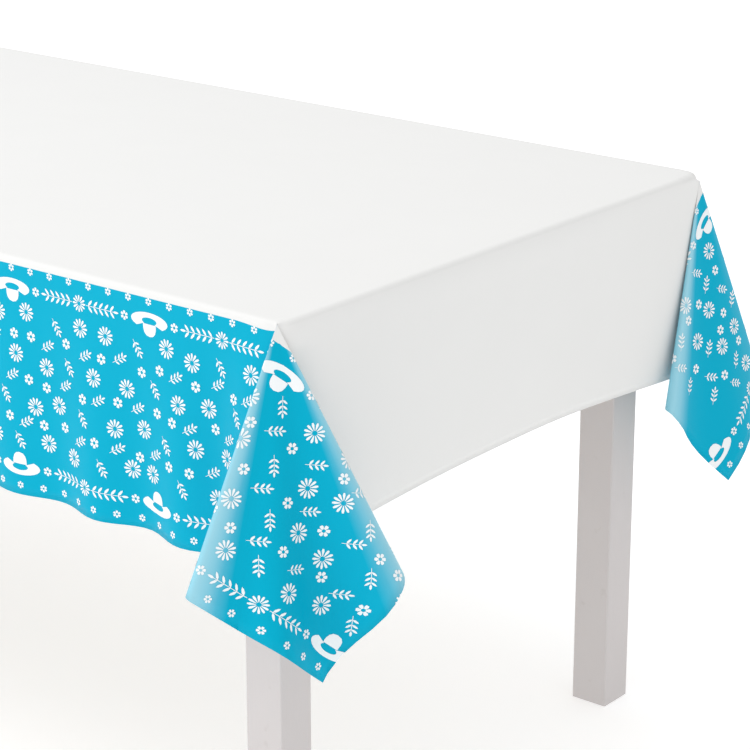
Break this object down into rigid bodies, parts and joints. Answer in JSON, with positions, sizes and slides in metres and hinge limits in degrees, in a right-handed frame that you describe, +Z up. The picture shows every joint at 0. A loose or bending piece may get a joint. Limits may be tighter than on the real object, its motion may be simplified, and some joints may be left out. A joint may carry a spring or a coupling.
{
  "type": "tablecloth on a table",
  "caption": "Rectangular table with square legs under a thin cloth that falls straight along the sides and ends and hangs in folded flaps at the corners.",
  "frame": {"origin": "on the floor, under the middle of the table", "axes": "+X along the table's length, +Y across it towards the back, +Z up"},
  "size_m": [1.8666, 1.0378, 0.72],
  "materials": {
    "cloth_print": "smooth printed film, satin",
    "top_board": "lacquered board",
    "leg_paint": "satin off-white paint on wood",
    "steel": "zinc plated",
    "glide": "moulded"
  },
  "bodies": {
    "table": {"table_top": "top_board", "leg_front_left": "leg_paint", "leg_front_right": "leg_paint", "leg_back_left": "leg_paint", "leg_back_right": "leg_paint", "apron_front": "leg_paint", "apron_back": "leg_paint", "apron_left": "leg_paint", "apron_right": "leg_paint", "bracket_front_left": "steel", "bracket_front_right": "steel", "bracket_back_left": "steel", "bracket_back_right": "steel", "hanger_bolts": "steel", "bolt_washers": "steel", "bolt_nuts": "steel", "bracket_screws": "steel", "top_clips": "steel", "clip_screws": "steel", "glide_front_left": "glide", "glide_front_right": "glide", "glide_back_left": "glide", "glide_back_right": "glide"},
    "cloth": {"tablecloth": "cloth_print"}
  },
  "joints": [
    {"name": "cloth_lift", "type": "slide", "parent": "table", "child": "cloth", "axis": [0, 0, 1], "range_m": [0, 0.45]}
  ]
}
